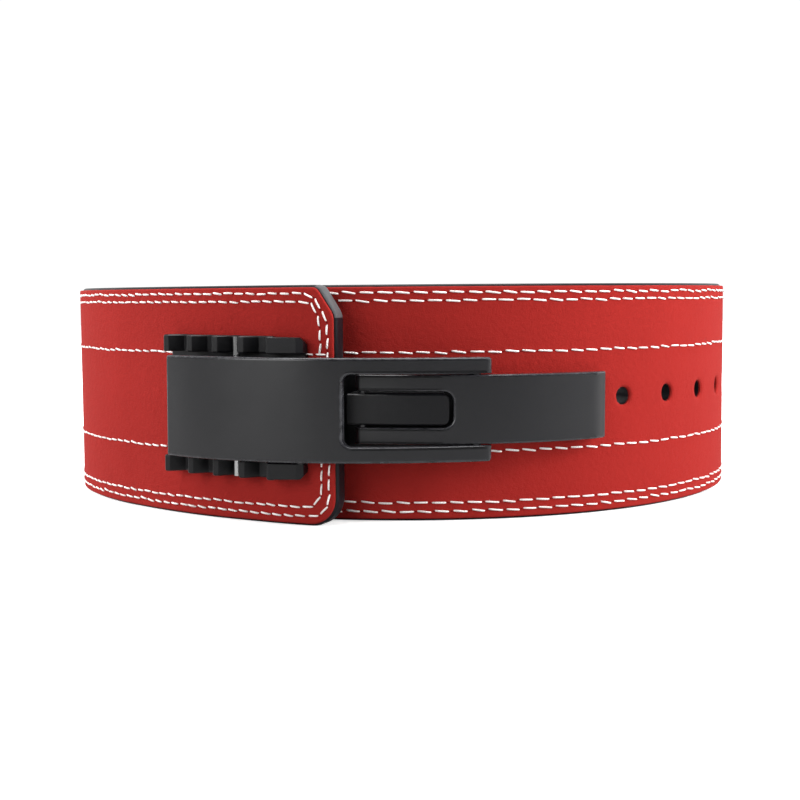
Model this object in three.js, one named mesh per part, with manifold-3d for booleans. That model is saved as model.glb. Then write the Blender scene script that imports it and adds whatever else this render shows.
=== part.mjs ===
// A lever weightlifting belt: one long leather strip wound into a lapped loop that stands on its
// edge, with a lever buckle on the front. Millimetres, +Z up, the front of the belt faces -Y.
// Angles around the loop are measured from the front towards +X.
import * as THREE from 'three';
import { mergeVertices } from 'three/addons/utils/BufferGeometryUtils.js';
import Module from 'manifold-3d';

// Belt leather
const BELT_HEIGHT = 100;
const BELT_THICKNESS = 10;
const BELT_RADIUS = 161.8;
const SKIN_THICKNESS = 1.6;
const SKIN_INSET = 1.2;
const EDGE_BEVEL = 1.3;
const INNER_END_TURN = -46;
const TIP_TURN = 349.7;
const BELT_STEPS = 126;
// The outer surface around the loop: reach is a share of BELT_RADIUS, and lift is the number of
// belt thicknesses that the lap adds.
const LOOP_ROWS = [
  { turn: -46, reach: 0.9722, lift: 0 },
  { turn: -25, reach: 0.9876, lift: 0 },
  { turn: 0, reach: 0.9926, lift: 0 },
  { turn: 30, reach: 1.0025, lift: 0 },
  { turn: 60, reach: 1.0060, lift: 0 },
  { turn: 90, reach: 1.0040, lift: 0 },
  { turn: 135, reach: 1.0040, lift: 0.08 },
  { turn: 180, reach: 1.0000, lift: 0.28 },
  { turn: 225, reach: 0.9950, lift: 0.60 },
  { turn: 270, reach: 0.9900, lift: 1.00 },
  { turn: 288.8, reach: 0.9925, lift: 1.10 },
  { turn: 305.9, reach: 0.9815, lift: 1.10 },
  { turn: 313, reach: 0.9753, lift: 1.10 },
  { turn: 323, reach: 0.9797, lift: 1.10 },
  { turn: 335.4, reach: 0.9894, lift: 1.22 },
  { turn: 342.2, reach: 0.9982, lift: 1.40 },
  { turn: 349.7, reach: 1.0062, lift: 1.60 },
];

// Ends of the strip
const TIP_CHAMFER_LENGTH = 8;
const TIP_CHAMFER_HEIGHT = 12;
const TIP_CORNER_RADIUS = 12;
const INNER_CORNER_RADIUS = 12;

// Row of screw holes
const HOLE_RADIUS = 4;
const HOLE_PITCH = 29.3;
const HOLE_HEIGHT = 50.6;
const HOLES_RIGHT_OF_ANCHOR = 7;
const HOLES_LEFT_OF_ANCHOR = 1;
const ANCHOR_HOLES = 2;
const FIRST_ANCHOR_HOLE = -19.5;

// Clearances
const SEAT_GAP = 0.3;
const PIN_CLEARANCE = 0.25;
const FORK_CLEARANCE = 0.45;
const SCREW_CLEARANCE = 0.3;

// Buckle as a whole: the height of its middle, and how far its right end hangs below level, in degrees
const BUCKLE_HEIGHT = 48.7;
const BUCKLE_TILT = 0.45;
const PIN_RADIUS = 1.5;

// Lever handle
const HANDLE_ARM_HEIGHT = 6.75;
const HANDLE_PLATE = 6;
const HANDLE_BEVEL = 0.7;
const ANCHOR_PIN_AT = -19.9;
const LEVER_ARM = 43.5;
const GRIP_LENGTH = 52;
const HANDLE_CROWN = 16.9;
const GRIP_RISE = 11.4;
const GRIP_BEVEL_LENGTH = 7;
const GRIP_BEVEL_DEPTH = 3.8;
const SLOT_SIDE_CLEARANCE = 1.15;
const SLOT_END_CLEARANCE = 2;
const SLOT_CORNER = 4.3;
// Outer face of the handle from the anchor pin to the grip's bevel: at is a share of its length,
// rise a share of the way from GRIP_RISE to HANDLE_CROWN.
const HANDLE_ROWS = [
  { at: 0, rise: 0.72 },
  { at: 0.208, rise: 0.91 },
  { at: 0.445, rise: 1 },
  { at: 0.62, rise: 0.91 },
  { at: 0.795, rise: 0.55 },
  { at: 1, rise: 0 },
];

// Anchor block and its base plate
const BLOCK_HEIGHT = 12.8;
const BLOCK_LEFT_REACH = 5.6;
const BLOCK_RIGHT_REACH = 32.8;
const BLOCK_CORNER = 3;
const BLOCK_BEVEL = 0.6;
const PLATE_THICKNESS = 2;
const PLATE_LEFT = -33;
const PLATE_RIGHT = 28;
const PLATE_HEIGHT = 36;
const PLATE_CORNER = 3;

// Fork link
const LINK_ARM_HEIGHT = 6.7;
const LINK_PLATE = 5.5;
const LINK_BEVEL = 0.8;
const LINK_REACH = 121;
const LINK_ARM_OVERHANG = 5.8;
const LINK_ARM_COVER = 3;
const LINK_TIP_CLEARANCE = 3.7;
const PIN_BOSS_RADIUS = 3.9;
const FORK_CORNER = 3.2;
const FORK_END_CLEARANCE = 4.4;
// Outer face of the link from its hook end to the ends of its arms: at is a share of its length,
// rise a share of the way from the arms' ends to the crown.
const LINK_ROWS = [
  { at: 0, rise: 0.714 },
  { at: 0.104, rise: 0.905 },
  { at: 0.213, rise: 1 },
  { at: 0.432, rise: 1 },
  { at: 0.585, rise: 0.762 },
  { at: 0.76, rise: 0.429 },
  { at: 0.891, rise: 0.19 },
  { at: 1, rise: 0 },
];

// Toothed rack
const RACK_LIFT = 0.3;
const RAIL_HEIGHT = 7.2;
const RAIL_CLEARANCE = 0.9;
const RACK_SETBACK = 12.6;
const RACK_PLATE = 1.8;
const RACK_BEVEL = 0.5;
const TOOTH_COUNT = 5;
const TOOTH_PITCH = 13.6;
const TOOTH_FLOOR = 3.2;
const TOOTH_RISE = 10;
const TOOTH_LEAN = 25.5;
const NOSE_RADIUS = 1.3;
const NOSE_WIDTH = 3;
const NOSE_STEPS = 4;
const NOTCH_WIDTH = 4.6;
const END_BLOCK_LENGTH = 16.7;
const END_BLOCK_RISE = 6.5;
const END_BLOCK_BEVEL = 2.1;
const END_BLOCK_INSET = 0.3;
const END_BLOCK_TAPER = 0.2;
const END_BLOCK_CORNER = 1.2;

// Crossbar and its lugs
const HOOKED_TOOTH = 4;
const BAR_RADIUS = 1.4;
const BAR_FLOOR_GAP = 1.1;
const BAR_TOOTH_GAP = 0.35;
const LUG_RADIUS = 3.1;
const LUG_WIDTH = 4;
const LUG_INSET = 3;

// Screws
const SCREW_SHANK_RADIUS = 2.6;
const SCREW_HEAD_RADIUS = 5.5;
const SCREW_HEAD_THICKNESS = 1;
const SCREW_ENGAGEMENT = 6.5;
const RACK_SCREW_SPACING = 39;
const RACK_SCREW_MARGIN = 7;
const RACK_SCREW_HEIGHT_SPACING = 28;

const ROUND_SIDES = 20;
const HOLE_SIDES = 16;
const CORNER_STEPS = 5;
const CURVE_STEPS = 10;
const CUT_MARGIN = 2;
const FACE_MARGIN = 0.001;
// How far ahead, in degrees, the belt's direction at a hole is taken.
const TANGENT_TURN = 0.5;

const LEATHER_BLACK = new THREE.MeshStandardMaterial({ color: 0x17171a, roughness: 0.7, metalness: 0 });
const SUEDE_RED = new THREE.MeshStandardMaterial({ color: 0xa8302c, roughness: 0.9, metalness: 0 });
const METAL_BLACK = new THREE.MeshStandardMaterial({ color: 0x3c3c42, roughness: 0.4, metalness: 0.8 });
const STEEL_BRIGHT = new THREE.MeshStandardMaterial({ color: 0xd8d8da, roughness: 0.25, metalness: 1 });

const wasm = await Module();
wasm.setup();

// A closed geometry as a solid that can be joined and cut.
function solid(geometry) {
  const bare = geometry.clone();
  bare.deleteAttribute('normal');
  bare.deleteAttribute('uv');
  const merged = mergeVertices(bare);
  return new wasm.Manifold(new wasm.Mesh({
    numProp: 3,
    vertProperties: merged.getAttribute('position').array,
    triVerts: new Uint32Array(merged.getIndex().array),
  }));
}

// A solid back as a geometry.
function geometryOf(body) {
  const mesh = body.getMesh();
  const geometry = new THREE.BufferGeometry();
  geometry.setAttribute('position', new THREE.BufferAttribute(new Float32Array(mesh.vertProperties), 3));
  geometry.setIndex(new THREE.BufferAttribute(new Uint32Array(mesh.triVerts), 1));
  geometry.computeVertexNormals();
  return geometry;
}

function named(name, geometry, material) {
  const mesh = new THREE.Mesh(geometry, material);
  mesh.name = name;
  return mesh;
}

// The value of a column at a place between the rows: a cubic through the rows, whose slope at
// each row is that between its neighbours.
function between(rows, place, column, at) {
  const last = rows.length - 1;
  const slope = (i) => {
    const a = rows[Math.max(i - 1, 0)];
    const b = rows[Math.min(i + 1, last)];
    return (b[column] - a[column]) / (b[place] - a[place]);
  };
  let i = 0;
  while (i < last - 1 && at > rows[i + 1][place]) i += 1;
  const width = rows[i + 1][place] - rows[i][place];
  const t = (at - rows[i][place]) / width;
  const start = rows[i][column];
  const end = rows[i + 1][column];
  const rest = 1 - t;
  return start * rest * rest * (1 + 2 * t) + end * t * t * (3 - 2 * t)
    + width * (slope(i) * t * rest * rest - slope(i + 1) * t * t * rest);
}

// Places on the belt

const shareOfTurn = (turn) => THREE.MathUtils.mapLinear(
  turn, INNER_END_TURN, TIP_TURN, LOOP_ROWS[0].turn, LOOP_ROWS[LOOP_ROWS.length - 1].turn);

// Distance from the loop's axis to the outer surface at a turn in degrees.
function beltReach(turn) {
  const row = shareOfTurn(turn);
  return BELT_RADIUS * between(LOOP_ROWS, 'turn', 'reach', row)
    + BELT_THICKNESS * between(LOOP_ROWS, 'turn', 'lift', row);
}

function polar(turn, reach) {
  const angle = THREE.MathUtils.degToRad(turn);
  return new THREE.Vector2(reach * Math.sin(angle), -reach * Math.cos(angle));
}

// The outer surface seen from above, from the inner end of the strip to its tip.
class BeltLine extends THREE.Curve {
  getPoint(t, target = new THREE.Vector3()) {
    const turn = THREE.MathUtils.lerp(INNER_END_TURN, TIP_TURN, t);
    const place = polar(turn, beltReach(turn));
    return target.set(place.x, place.y, BELT_HEIGHT / 2);
  }
}
const beltLine = new BeltLine();
beltLine.arcLengthDivisions = 2000;
const beltLength = beltLine.getLength();

// A point beside the belt line at a share of its length, out from the surface, with the
// directions along the belt and outwards there.
function besideBelt(share, out) {
  const on = beltLine.getPointAt(share);
  const along = beltLine.getTangentAt(share);
  const normal = new THREE.Vector3(along.y, -along.x, 0);
  return { point: on.addScaledVector(normal, out), along, normal };
}

// The same on the outer layer, at a distance back from the belt's tip.
const behindTip = (distance, out) => besideBelt(1 - distance / beltLength, out);

// The front of the inner layer, on which the lever is mounted: a place along its circle and a
// rise off it.
const frontReach = beltReach(0);
function onFront(along, rise) {
  return polar(THREE.MathUtils.radToDeg(along / frontReach), frontReach + rise);
}
const turnOfFront = (along) => THREE.MathUtils.radToDeg(along / frontReach);
const surfaceRise = (along) => beltReach(turnOfFront(along)) - frontReach;

// Common forms

// An outline seen from above, standing between two heights, with bevelled top and bottom edges.
function standing(points, bottom, top, bevel) {
  const geometry = new THREE.ExtrudeGeometry(new THREE.Shape(points), {
    depth: top - bottom - 2 * bevel,
    bevelEnabled: bevel > 0,
    bevelThickness: bevel,
    bevelSize: bevel,
    bevelOffset: -bevel,
    bevelSegments: 1,
  });
  geometry.translate(0, 0, bottom + bevel);
  return solid(geometry);
}

// A shape drawn as seen from the front (x to the right, y up), run right through the buckle.
function seenFromFront(shape) {
  const geometry = new THREE.ExtrudeGeometry(shape, {
    depth: BELT_RADIUS,
    bevelEnabled: false,
    curveSegments: CORNER_STEPS,
  });
  geometry.rotateX(Math.PI / 2);
  geometry.translate(0, -frontReach / 2, 0);
  return solid(geometry);
}

// From the buckle's frame, whose heights are measured from its middle, to the belt's.
const buckleFrame = new THREE.Matrix4()
  .makeRotationY(THREE.MathUtils.degToRad(BUCKLE_TILT))
  .setPosition(0, 0, BUCKLE_HEIGHT);
const beltFrame = new THREE.Matrix4();

// A shape drawn in a plane that stands on the belt: its x runs along, its y up, and it is
// extruded from one distance out to another.
function acrossBelt(shape, place, from, to, frame = beltFrame) {
  const geometry = new THREE.ExtrudeGeometry(shape, { depth: to - from, bevelEnabled: false });
  geometry.translate(0, 0, from);
  const turned = new THREE.Matrix4().makeBasis(place.along, new THREE.Vector3(0, 0, 1), place.normal);
  turned.setPosition(place.point.x, place.point.y, 0);
  geometry.applyMatrix4(turned).applyMatrix4(frame);
  return solid(geometry);
}

// A round hole square to the belt.
function roundAcross(place, height, radius, from, to, frame = beltFrame) {
  const circle = new THREE.Shape().absarc(0, height, radius, 0, 2 * Math.PI);
  const points = circle.getPoints(HOLE_SIDES / 2);
  return acrossBelt(new THREE.Shape(points.slice(0, -1)), place, from, to, frame);
}

// An upright round rod or hole.
function upright(point, radius, bottom, top) {
  const geometry = new THREE.CylinderGeometry(radius, radius, top - bottom, ROUND_SIDES);
  geometry.rotateX(Math.PI / 2);
  geometry.translate(point.x, point.y, (bottom + top) / 2);
  return solid(geometry);
}

// A rectangle with rounded corners on its right or left side only.
function roundedOnOneSide(left, right, bottom, top, radius, roundRight) {
  const shape = new THREE.Shape();
  const quarter = Math.PI / 2;
  if (roundRight) {
    shape.moveTo(left, bottom);
    shape.lineTo(right - radius, bottom);
    shape.absarc(right - radius, bottom + radius, radius, -quarter, 0);
    shape.absarc(right - radius, top - radius, radius, 0, quarter);
    shape.lineTo(left, top);
  } else {
    shape.moveTo(right, top);
    shape.lineTo(left + radius, top);
    shape.absarc(left + radius, top - radius, radius, quarter, 2 * quarter);
    shape.absarc(left + radius, bottom + radius, radius, 2 * quarter, 3 * quarter);
    shape.lineTo(right, bottom);
  }
  return shape;
}

// Belt leather

// One layer of the strip, between two depths below the outer surface and short of both edges.
function layer(from, to, inset, bevel) {
  const half = BELT_HEIGHT / 2 - inset;
  const section = new THREE.Shape([
    new THREE.Vector2(-half + bevel, from),
    new THREE.Vector2(half - bevel, from),
    new THREE.Vector2(half, from + bevel),
    new THREE.Vector2(half, to - bevel),
    new THREE.Vector2(half - bevel, to),
    new THREE.Vector2(-half + bevel, to),
    new THREE.Vector2(-half, to - bevel),
    new THREE.Vector2(-half, from + bevel),
  ]);
  return solid(new THREE.ExtrudeGeometry(section, {
    steps: BELT_STEPS,
    bevelEnabled: false,
    extrudePath: beltLine,
  }));
}

// What is cut off an end of the strip. Drawn with the end at x = 0 and the strip to its left.
function cornerRound(radius, top, inset) {
  const side = top ? 1 : -1;
  const edge = (top ? BELT_HEIGHT : 0);
  const shape = new THREE.Shape();
  shape.moveTo(CUT_MARGIN, edge + side * CUT_MARGIN);
  shape.lineTo(CUT_MARGIN, edge - side * (radius + inset));
  shape.lineTo(-inset, edge - side * (radius + inset));
  for (let i = 0; i <= CORNER_STEPS; i += 1) {
    const angle = (i / CORNER_STEPS) * Math.PI / 2;
    shape.lineTo(
      -inset - radius + radius * Math.cos(angle),
      edge - side * (inset + radius - radius * Math.sin(angle)));
  }
  shape.lineTo(-inset - radius, edge + side * CUT_MARGIN);
  return shape;
}

function cornerChamfer(length, height, inset) {
  const shape = new THREE.Shape();
  shape.moveTo(CUT_MARGIN, BELT_HEIGHT + CUT_MARGIN);
  shape.lineTo(-length - inset - CUT_MARGIN, BELT_HEIGHT + CUT_MARGIN);
  shape.lineTo(-length - inset, BELT_HEIGHT - inset / 2);
  shape.lineTo(-inset / 2, BELT_HEIGHT - height - inset);
  shape.lineTo(CUT_MARGIN, BELT_HEIGHT - height - inset);
  return shape;
}

// The end itself, cut back by an inset.
function endTrim(inset) {
  const shape = new THREE.Shape();
  shape.moveTo(CUT_MARGIN, -CUT_MARGIN);
  shape.lineTo(CUT_MARGIN, BELT_HEIGHT + CUT_MARGIN);
  shape.lineTo(-inset, BELT_HEIGHT + CUT_MARGIN);
  shape.lineTo(-inset, -CUT_MARGIN);
  return shape;
}

const tip = besideBelt(1, 0);
const innerEnd = besideBelt(0, 0);
const innerEndTurned = {
  point: innerEnd.point,
  along: innerEnd.along.clone().negate(),
  normal: innerEnd.normal.clone().negate(),
};
// Half the gap between the two layers at the lap: cuts into one layer stop in it.
const lapCut = (beltReach(INNER_END_TURN + 360) - BELT_THICKNESS - beltReach(INNER_END_TURN)) / 2;

function shapeEnds(strip, inset) {
  const inward = -BELT_THICKNESS - CUT_MARGIN;
  let cut = strip;
  for (const shape of [
    cornerChamfer(TIP_CHAMFER_LENGTH, TIP_CHAMFER_HEIGHT, inset),
    cornerRound(TIP_CORNER_RADIUS, false, inset),
    ...(inset > 0 ? [endTrim(inset)] : []),
  ]) {
    cut = cut.subtract(acrossBelt(shape, tip, inward, CUT_MARGIN));
  }
  for (const shape of [
    cornerRound(INNER_CORNER_RADIUS, true, inset),
    cornerRound(INNER_CORNER_RADIUS, false, inset),
    ...(inset > 0 ? [endTrim(inset)] : []),
  ]) {
    cut = cut.subtract(acrossBelt(shape, innerEndTurned, -lapCut, -inward));
  }
  return cut;
}

// Screw holes through the inner layer: the two that carry the anchor block, and those beside them.
const holePlaces = [];
for (let i = -HOLES_LEFT_OF_ANCHOR; i < ANCHOR_HOLES + HOLES_RIGHT_OF_ANCHOR; i += 1) {
  const turn = turnOfFront(FIRST_ANCHOR_HOLE + i * HOLE_PITCH);
  const on = polar(turn, beltReach(turn));
  const ahead = polar(turn + TANGENT_TURN, beltReach(turn + TANGENT_TURN));
  const along = new THREE.Vector3(ahead.x - on.x, ahead.y - on.y, 0).normalize();
  holePlaces.push({
    point: new THREE.Vector3(on.x, on.y, 0),
    along,
    normal: new THREE.Vector3(along.y, -along.x, 0),
  });
}
const anchorHoles = holePlaces.slice(HOLES_LEFT_OF_ANCHOR, HOLES_LEFT_OF_ANCHOR + ANCHOR_HOLES);
const anchorScrewHeight = HOLE_HEIGHT - BUCKLE_HEIGHT;

// The rack's screws, with heights from the buckle's middle.
const rackScrewPlaces = [];
for (const distance of [RACK_SETBACK + RACK_SCREW_MARGIN, RACK_SETBACK + RACK_SCREW_MARGIN + RACK_SCREW_SPACING]) {
  for (const side of [1, -1]) {
    rackScrewPlaces.push({
      place: behindTip(distance, 0),
      height: RACK_LIFT + side * RACK_SCREW_HEIGHT_SPACING / 2,
    });
  }
}

function drill(strip) {
  let cut = strip;
  for (const place of holePlaces) {
    cut = cut.subtract(roundAcross(place, HOLE_HEIGHT, HOLE_RADIUS, -BELT_THICKNESS - CUT_MARGIN, CUT_MARGIN / 2));
  }
  for (const { place, height } of rackScrewPlaces) {
    const radius = SCREW_SHANK_RADIUS + SCREW_CLEARANCE;
    cut = cut.subtract(roundAcross(
      place, height, radius, -BELT_THICKNESS - lapCut, CUT_MARGIN, buckleFrame));
  }
  return cut;
}

const core = drill(shapeEnds(layer(SKIN_THICKNESS + SEAT_GAP, BELT_THICKNESS, 0, EDGE_BEVEL), 0));
const skin = drill(shapeEnds(layer(0, SKIN_THICKNESS, SKIN_INSET, SKIN_THICKNESS / 4), SKIN_INSET));

// Where the lever lies

const handleLength = LEVER_ARM + GRIP_LENGTH;
const forkPinAt = ANCHOR_PIN_AT + LEVER_ARM;
function handleRise(along) {
  const at = THREE.MathUtils.clamp((along - ANCHOR_PIN_AT) / handleLength, 0, 1);
  return GRIP_RISE + (HANDLE_CROWN - GRIP_RISE) * between(HANDLE_ROWS, 'at', 'rise', at);
}
const anchorPin = onFront(ANCHOR_PIN_AT, handleRise(ANCHOR_PIN_AT) - HANDLE_PLATE / 2);
const forkPin = onFront(forkPinAt, handleRise(forkPinAt) - HANDLE_PLATE / 2);
const slotHalf = BLOCK_HEIGHT / 2 + SLOT_SIDE_CLEARANCE;
const handleTop = slotHalf + HANDLE_ARM_HEIGHT;
const handleBottom = -handleTop;
const pinHole = (pin) => upright(pin, PIN_RADIUS + PIN_CLEARANCE, -BELT_HEIGHT / 2, BELT_HEIGHT / 2);

// Anchor block, on a base plate that lies behind the lever

const blockLeft = ANCHOR_PIN_AT - BLOCK_LEFT_REACH;
const blockRight = ANCHOR_PIN_AT + BLOCK_RIGHT_REACH;

function basePlate() {
  const under = [];
  const over = [];
  for (let i = 0; i <= CURVE_STEPS; i += 1) {
    const along = THREE.MathUtils.lerp(PLATE_LEFT, PLATE_RIGHT, i / CURVE_STEPS);
    under.push(onFront(along, surfaceRise(along) + SEAT_GAP));
    over.push(onFront(along, surfaceRise(along) + SEAT_GAP + PLATE_THICKNESS));
  }
  const half = PLATE_HEIGHT / 2;
  const face = roundedOnOneSide(
    over[0].x - CUT_MARGIN, over[CURVE_STEPS].x, -half - FACE_MARGIN, half + FACE_MARGIN, PLATE_CORNER, true);
  return standing([...over, ...under.reverse()], -half, half, 0).intersect(seenFromFront(face));
}

function anchorBlock() {
  const foot = [];
  const head = [];
  for (let i = 0; i <= CURVE_STEPS; i += 1) {
    const along = THREE.MathUtils.lerp(blockLeft, blockRight, i / CURVE_STEPS);
    foot.push(onFront(along, surfaceRise(along) + SEAT_GAP + PLATE_THICKNESS / 2));
    head.push(onFront(along, handleRise(along)));
  }
  const bottom = -BLOCK_HEIGHT / 2;
  const top = BLOCK_HEIGHT / 2;
  const face = roundedOnOneSide(
    onFront(blockLeft, 0).x - BLOCK_LEFT_REACH, head[CURVE_STEPS].x, bottom - FACE_MARGIN, top + FACE_MARGIN, BLOCK_CORNER, true);
  let block = standing([...head, ...foot.reverse()], bottom, top, BLOCK_BEVEL)
    .intersect(seenFromFront(face))
    .subtract(pinHole(anchorPin))
    .add(basePlate());
  for (const place of anchorHoles) {
    const radius = SCREW_SHANK_RADIUS + SCREW_CLEARANCE;
    block = block.subtract(roundAcross(place, anchorScrewHeight, radius, -CUT_MARGIN, SCREW_ENGAGEMENT + SEAT_GAP));
  }
  return block;
}

// Lever handle

function handleBody() {
  const outer = [];
  const inner = [];
  const steps = 2 * CURVE_STEPS;
  for (let i = 0; i <= steps; i += 1) {
    const along = ANCHOR_PIN_AT + handleLength * i / steps;
    outer.push(onFront(along, handleRise(along)));
    inner.push(onFront(along, handleRise(along) - HANDLE_PLATE));
  }
  const end = ANCHOR_PIN_AT + handleLength;
  const nose = [
    onFront(end + GRIP_BEVEL_LENGTH, GRIP_RISE - GRIP_BEVEL_DEPTH),
    onFront(end + GRIP_BEVEL_LENGTH, GRIP_RISE - HANDLE_PLATE),
  ];
  const roundEnd = [];
  const inwards = Math.PI / 2 + ANCHOR_PIN_AT / frontReach;
  for (let i = 1; i <= CORNER_STEPS; i += 1) {
    const angle = inwards + Math.PI * i / (CORNER_STEPS + 1);
    roundEnd.push(new THREE.Vector2(
      anchorPin.x + Math.cos(angle) * HANDLE_PLATE / 2,
      anchorPin.y + Math.sin(angle) * HANDLE_PLATE / 2));
  }
  const slotEnd = onFront(blockRight, handleRise(blockRight)).x + SLOT_END_CLEARANCE;
  const slot = roundedOnOneSide(
    anchorPin.x - HANDLE_PLATE, slotEnd, -slotHalf, slotHalf, SLOT_CORNER, true);
  return standing([...outer, ...nose, ...inner.reverse(), ...roundEnd], handleBottom, handleTop, HANDLE_BEVEL)
    .subtract(seenFromFront(slot))
    .subtract(pinHole(anchorPin))
    .subtract(pinHole(forkPin));
}

// Toothed rack

const forkHalf = handleTop + FORK_CLEARANCE;
const linkTop = forkHalf + LINK_ARM_HEIGHT;
const linkBottom = -linkTop;
const rackHalf = linkTop + RAIL_CLEARANCE + RAIL_HEIGHT;
const rackBottom = RACK_LIFT - rackHalf;
const rackTop = RACK_LIFT + rackHalf;
// Distance from the belt's tip back to the hooked face of a tooth, counted from the left.
const lastToothFoot = RACK_SETBACK + END_BLOCK_LENGTH;
const toothFoot = (tooth) => lastToothFoot + (TOOTH_COUNT - tooth) * TOOTH_PITCH;
const rackFoot = toothFoot(1);
const flat = (distance, out) => {
  const { point } = behindTip(distance, out);
  return new THREE.Vector2(point.x, point.y);
};
const leanTo = (out) => (out - TOOTH_FLOOR) * Math.tan(THREE.MathUtils.degToRad(TOOTH_LEAN));

// The run along the belt's surface, from the tooth at the left to the end block at the right.
function rackBase() {
  const points = [];
  for (let i = 0; i <= CURVE_STEPS; i += 1) {
    points.push(flat(THREE.MathUtils.lerp(rackFoot, RACK_SETBACK, i / CURVE_STEPS), SEAT_GAP));
  }
  return points;
}

// The hooked face and rounded nose of a tooth, from its foot up.
function toothNose(tooth) {
  const foot = toothFoot(tooth);
  const points = [flat(foot, TOOTH_FLOOR)];
  const centre = TOOTH_RISE - NOSE_RADIUS;
  const noseAt = foot - leanTo(centre) - NOSE_RADIUS;
  for (let i = 0; i <= NOSE_STEPS; i += 1) {
    const angle = Math.PI / 2 * i / NOSE_STEPS;
    points.push(flat(noseAt + NOSE_RADIUS * Math.cos(angle), centre + NOSE_RADIUS * Math.sin(angle)));
  }
  points.push(flat(noseAt - NOSE_WIDTH + NOSE_RADIUS, TOOTH_RISE - NOSE_RADIUS / 2));
  return points;
}

function rail(bottom, top) {
  const teeth = [];
  for (let tooth = 1; tooth <= TOOTH_COUNT; tooth += 1) {
    teeth.push(...toothNose(tooth));
    if (tooth < TOOTH_COUNT) teeth.push(flat(toothFoot(tooth + 1) + NOTCH_WIDTH, TOOTH_FLOOR));
  }
  const blockEnd = [
    flat(RACK_SETBACK + END_BLOCK_BEVEL, END_BLOCK_RISE),
    flat(RACK_SETBACK, END_BLOCK_RISE - END_BLOCK_BEVEL),
  ];
  return standing([...rackBase().reverse(), ...teeth, ...blockEnd], bottom, top, RACK_BEVEL);
}

// The rack seen from the front: the end block at its right is lower than the teeth, and tapers.
function rackFace() {
  const left = flat(rackFoot, TOOTH_RISE).x - CUT_MARGIN;
  const step = flat(lastToothFoot - leanTo(TOOTH_RISE) - NOSE_WIDTH, TOOTH_RISE).x;
  const right = flat(RACK_SETBACK, END_BLOCK_RISE - END_BLOCK_BEVEL).x + CUT_MARGIN;
  const points = [[left, rackHalf + CUT_MARGIN], [step, rackHalf + CUT_MARGIN]];
  const taperHalf = rackHalf - END_BLOCK_INSET - END_BLOCK_TAPER;
  points.push([step, rackHalf - END_BLOCK_INSET]);
  points.push([right - CUT_MARGIN - END_BLOCK_CORNER, taperHalf]);
  points.push([right, taperHalf - END_BLOCK_CORNER - CUT_MARGIN]);
  const mirrored = points.map(([x, height]) => [x, -height]).reverse();
  return new THREE.Shape([...points, ...mirrored].map(([x, height]) => new THREE.Vector2(x, height + RACK_LIFT)));
}

function toothedRack() {
  const plateTop = [];
  for (let i = 0; i <= CURVE_STEPS; i += 1) {
    plateTop.push(flat(THREE.MathUtils.lerp(RACK_SETBACK, rackFoot, i / CURVE_STEPS), SEAT_GAP + RACK_PLATE));
  }
  const plate = standing([...rackBase(), ...plateTop], rackBottom + RAIL_HEIGHT / 2, rackTop - RAIL_HEIGHT / 2, 0);
  let rack = rail(rackBottom, rackBottom + RAIL_HEIGHT)
    .add(rail(rackTop - RAIL_HEIGHT, rackTop))
    .add(plate)
    .intersect(seenFromFront(rackFace()));
  for (const { place, height } of rackScrewPlaces) {
    const radius = SCREW_SHANK_RADIUS + SCREW_CLEARANCE;
    rack = rack.subtract(roundAcross(place, height, radius, -CUT_MARGIN, RACK_PLATE + CUT_MARGIN));
  }
  return rack;
}

// Crossbar, which lies in the notch at the left of its tooth

const barRise = TOOTH_FLOOR + BAR_FLOOR_GAP + BAR_RADIUS;
const barReach = (BAR_RADIUS + BAR_TOOTH_GAP) / Math.cos(THREE.MathUtils.degToRad(TOOTH_LEAN));
const barAt = flat(toothFoot(HOOKED_TOOTH) - leanTo(barRise) + barReach, barRise);

// Fork link

const tipRise = polar(TIP_TURN, beltReach(TIP_TURN)).length() - frontReach;
const linkCrown = tipRise + LINK_TIP_CLEARANCE + LINK_PLATE;
const forkPinRise = handleRise(forkPinAt) - HANDLE_PLATE / 2;
const linkEnd = forkPinAt + LINK_ARM_OVERHANG;
const linkStart = forkPinAt - LINK_REACH;
const linkLength = linkEnd - linkStart;
const armRise = forkPinRise + LINK_ARM_COVER;
function linkRise(along) {
  return armRise + (linkCrown - armRise) * between(LINK_ROWS, 'at', 'rise', (along - linkStart) / linkLength);
}

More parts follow.
